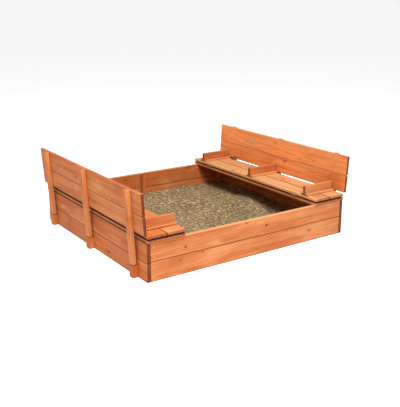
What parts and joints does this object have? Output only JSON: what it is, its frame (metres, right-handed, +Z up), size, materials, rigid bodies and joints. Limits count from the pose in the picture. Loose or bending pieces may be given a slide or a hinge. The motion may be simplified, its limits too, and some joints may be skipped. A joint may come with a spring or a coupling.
{
  "type": "sandbox with cover",
  "caption": "Square wooden sandbox with a folding plank cover, shown open: each half cover folds back into a bench with a backrest and low dividers.",
  "frame": {"origin": "on the ground under the middle of the box", "axes": "+X across both benches (the left bench is on the low X side), +Y to the back, +Z up"},
  "size_m": [1.3308, 1.15, 0.4289],
  "materials": {
    "box_wood": "orange stained softwood, satin",
    "cover_wood": "orange stained softwood, satin",
    "hinge_steel": "zinc plated, satin",
    "screw_steel": "zinc plated, satin",
    "liner": "black woven weed sheet, matt",
    "sand": "washed play sand, matt"
  },
  "bodies": {
    "root": {"front_wall_lower": "box_wood", "front_wall_upper": "box_wood", "back_wall_lower": "box_wood", "back_wall_upper": "box_wood", "left_wall_lower": "box_wood", "left_wall_upper": "box_wood", "right_wall_lower": "box_wood", "right_wall_upper": "box_wood", "front_left_corner_post": "box_wood", "front_right_corner_post": "box_wood", "back_left_corner_post": "box_wood", "back_right_corner_post": "box_wood", "front_middle_post": "box_wood", "back_middle_post": "box_wood", "rest_blocks": "box_wood", "left_cover_inner_plank": "cover_wood", "left_cover_outer_plank": "cover_wood", "right_cover_inner_plank": "cover_wood", "right_cover_outer_plank": "cover_wood", "ground_liner": "liner", "sand_bed": "sand", "wall_screws": "screw_steel", "cover_screws": "screw_steel", "cover_hinge_leaves": "hinge_steel", "cover_hinge_pins": "hinge_steel", "cover_hinge_screws": "screw_steel"},
    "left_seat": {"left_seat_inner_plank": "cover_wood", "left_seat_outer_plank": "cover_wood", "left_divider_cleats": "cover_wood", "left_front_divider": "cover_wood", "left_middle_divider": "cover_wood", "left_back_divider": "cover_wood", "left_seat_hinge_leaves": "hinge_steel", "left_back_hinge_pins": "hinge_steel", "left_seat_screws": "screw_steel"},
    "left_back": {"left_back_lower_plank": "cover_wood", "left_back_upper_plank": "cover_wood", "left_front_batten": "cover_wood", "left_middle_batten": "cover_wood", "left_back_batten": "cover_wood", "left_back_hinge_leaves": "hinge_steel", "left_back_screws": "screw_steel"},
    "right_seat": {"right_seat_inner_plank": "cover_wood", "right_seat_outer_plank": "cover_wood", "right_divider_cleats": "cover_wood", "right_front_divider": "cover_wood", "right_middle_divider": "cover_wood", "right_back_divider": "cover_wood", "right_seat_hinge_leaves": "hinge_steel", "right_back_hinge_pins": "hinge_steel", "right_seat_screws": "screw_steel"},
    "right_back": {"right_back_lower_plank": "cover_wood", "right_back_upper_plank": "cover_wood", "right_front_batten": "cover_wood", "right_middle_batten": "cover_wood", "right_back_batten": "cover_wood", "right_back_hinge_leaves": "hinge_steel", "right_back_screws": "screw_steel"}
  },
  "joints": [
    {"name": "right_seat_fold", "type": "hinge", "parent": "root", "child": "right_seat", "pos_m": [0.41, 0, 0.2085], "axis": [0, -1, 0], "range_deg": [0, 180]},
    {"name": "right_back_fold", "type": "hinge", "parent": "right_seat", "child": "right_back", "pos_m": [0.6135, 0, 0.2281], "axis": [0, 1, 0], "range_deg": [0, 86.4]},
    {"name": "left_seat_fold", "type": "hinge", "parent": "root", "child": "left_seat", "pos_m": [-0.41, 0, 0.2085], "axis": [0, 1, 0], "range_deg": [0, 180]},
    {"name": "left_back_fold", "type": "hinge", "parent": "left_seat", "child": "left_back", "pos_m": [-0.6135, 0, 0.2281], "axis": [0, -1, 0], "range_deg": [0, 86.4]}
  ],
  "couplings": [
    {"joint": "right_back_fold", "follows": "right_seat_fold", "ratio": 0.48},
    {"joint": "left_back_fold", "follows": "left_seat_fold", "ratio": 0.48}
  ]
}
